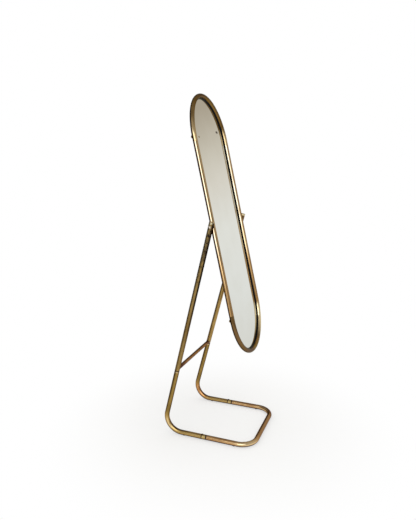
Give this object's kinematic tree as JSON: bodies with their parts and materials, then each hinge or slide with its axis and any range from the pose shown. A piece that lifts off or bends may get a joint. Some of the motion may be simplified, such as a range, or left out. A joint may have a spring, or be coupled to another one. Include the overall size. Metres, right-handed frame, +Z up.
{
  "type": "tilting floor mirror",
  "caption": "Tall round-ended mirror in a brass tube ring, pivoted between leaning uprights on a sled base, tilting and held by friction.",
  "frame": {"origin": "on the floor, under the middle of the whole object's bounding box", "axes": "+Z up, -Y the way the glass faces, X across from upright to upright"},
  "size_m": [0.4924, 0.4666, 1.6505],
  "materials": {
    "brass_copper": "aged brass tube, coppery brown, satin with worn bright spots",
    "brass_olive": "aged brass tube, olive, satin",
    "brass_dark": "brass with a dark spotted patina",
    "brass_gold": "aged brass, warm gold, polished in places",
    "plated_steel": "nickel-plated steel, bright",
    "silvered_glass": "silvered glass, small age spots near the top",
    "board": "brown hardboard, matt",
    "black_rubber": "black, matt"
  },
  "bodies": {
    "stand": {"base_front_u": "brass_copper", "rear_leg_left": "brass_olive", "rear_leg_right": "brass_olive", "upper_upright_left": "brass_dark", "upper_upright_right": "brass_dark", "crossbar": "brass_copper", "base_joint_sleeve_left": "brass_gold", "base_joint_sleeve_right": "brass_gold", "base_joint_screws": "brass_dark", "upright_joint_sleeve_left": "brass_gold", "upright_joint_sleeve_right": "brass_gold", "upright_cap_left": "brass_gold", "upright_cap_right": "brass_gold", "pivot_bush_left": "brass_gold", "pivot_bush_right": "brass_gold", "friction_washer_left": "black_rubber", "friction_washer_right": "black_rubber", "floor_glides": "black_rubber"},
    "mirror": {"frame_top_bow": "brass_gold", "frame_bottom_bow": "brass_gold", "frame_side_left": "brass_gold", "frame_side_right": "brass_gold", "frame_joint_sleeves": "brass_gold", "glazing_strip": "black_rubber", "mirror_glass": "silvered_glass", "backing_board": "board", "back_strap_upper": "brass_dark", "back_strap_lower": "brass_dark", "strap_screws": "brass_gold", "pivot_boss_left": "brass_gold", "pivot_boss_right": "brass_gold", "pivot_bolt_left": "plated_steel", "pivot_bolt_right": "plated_steel", "bolt_washers": "plated_steel"}
  },
  "joints": [
    {"name": "mirror_tilt", "type": "hinge", "parent": "stand", "child": "mirror", "pos_m": [0, -0.02327, 1.052], "axis": [1, 0, 0], "range_deg": [-149, 23]}
  ]
}
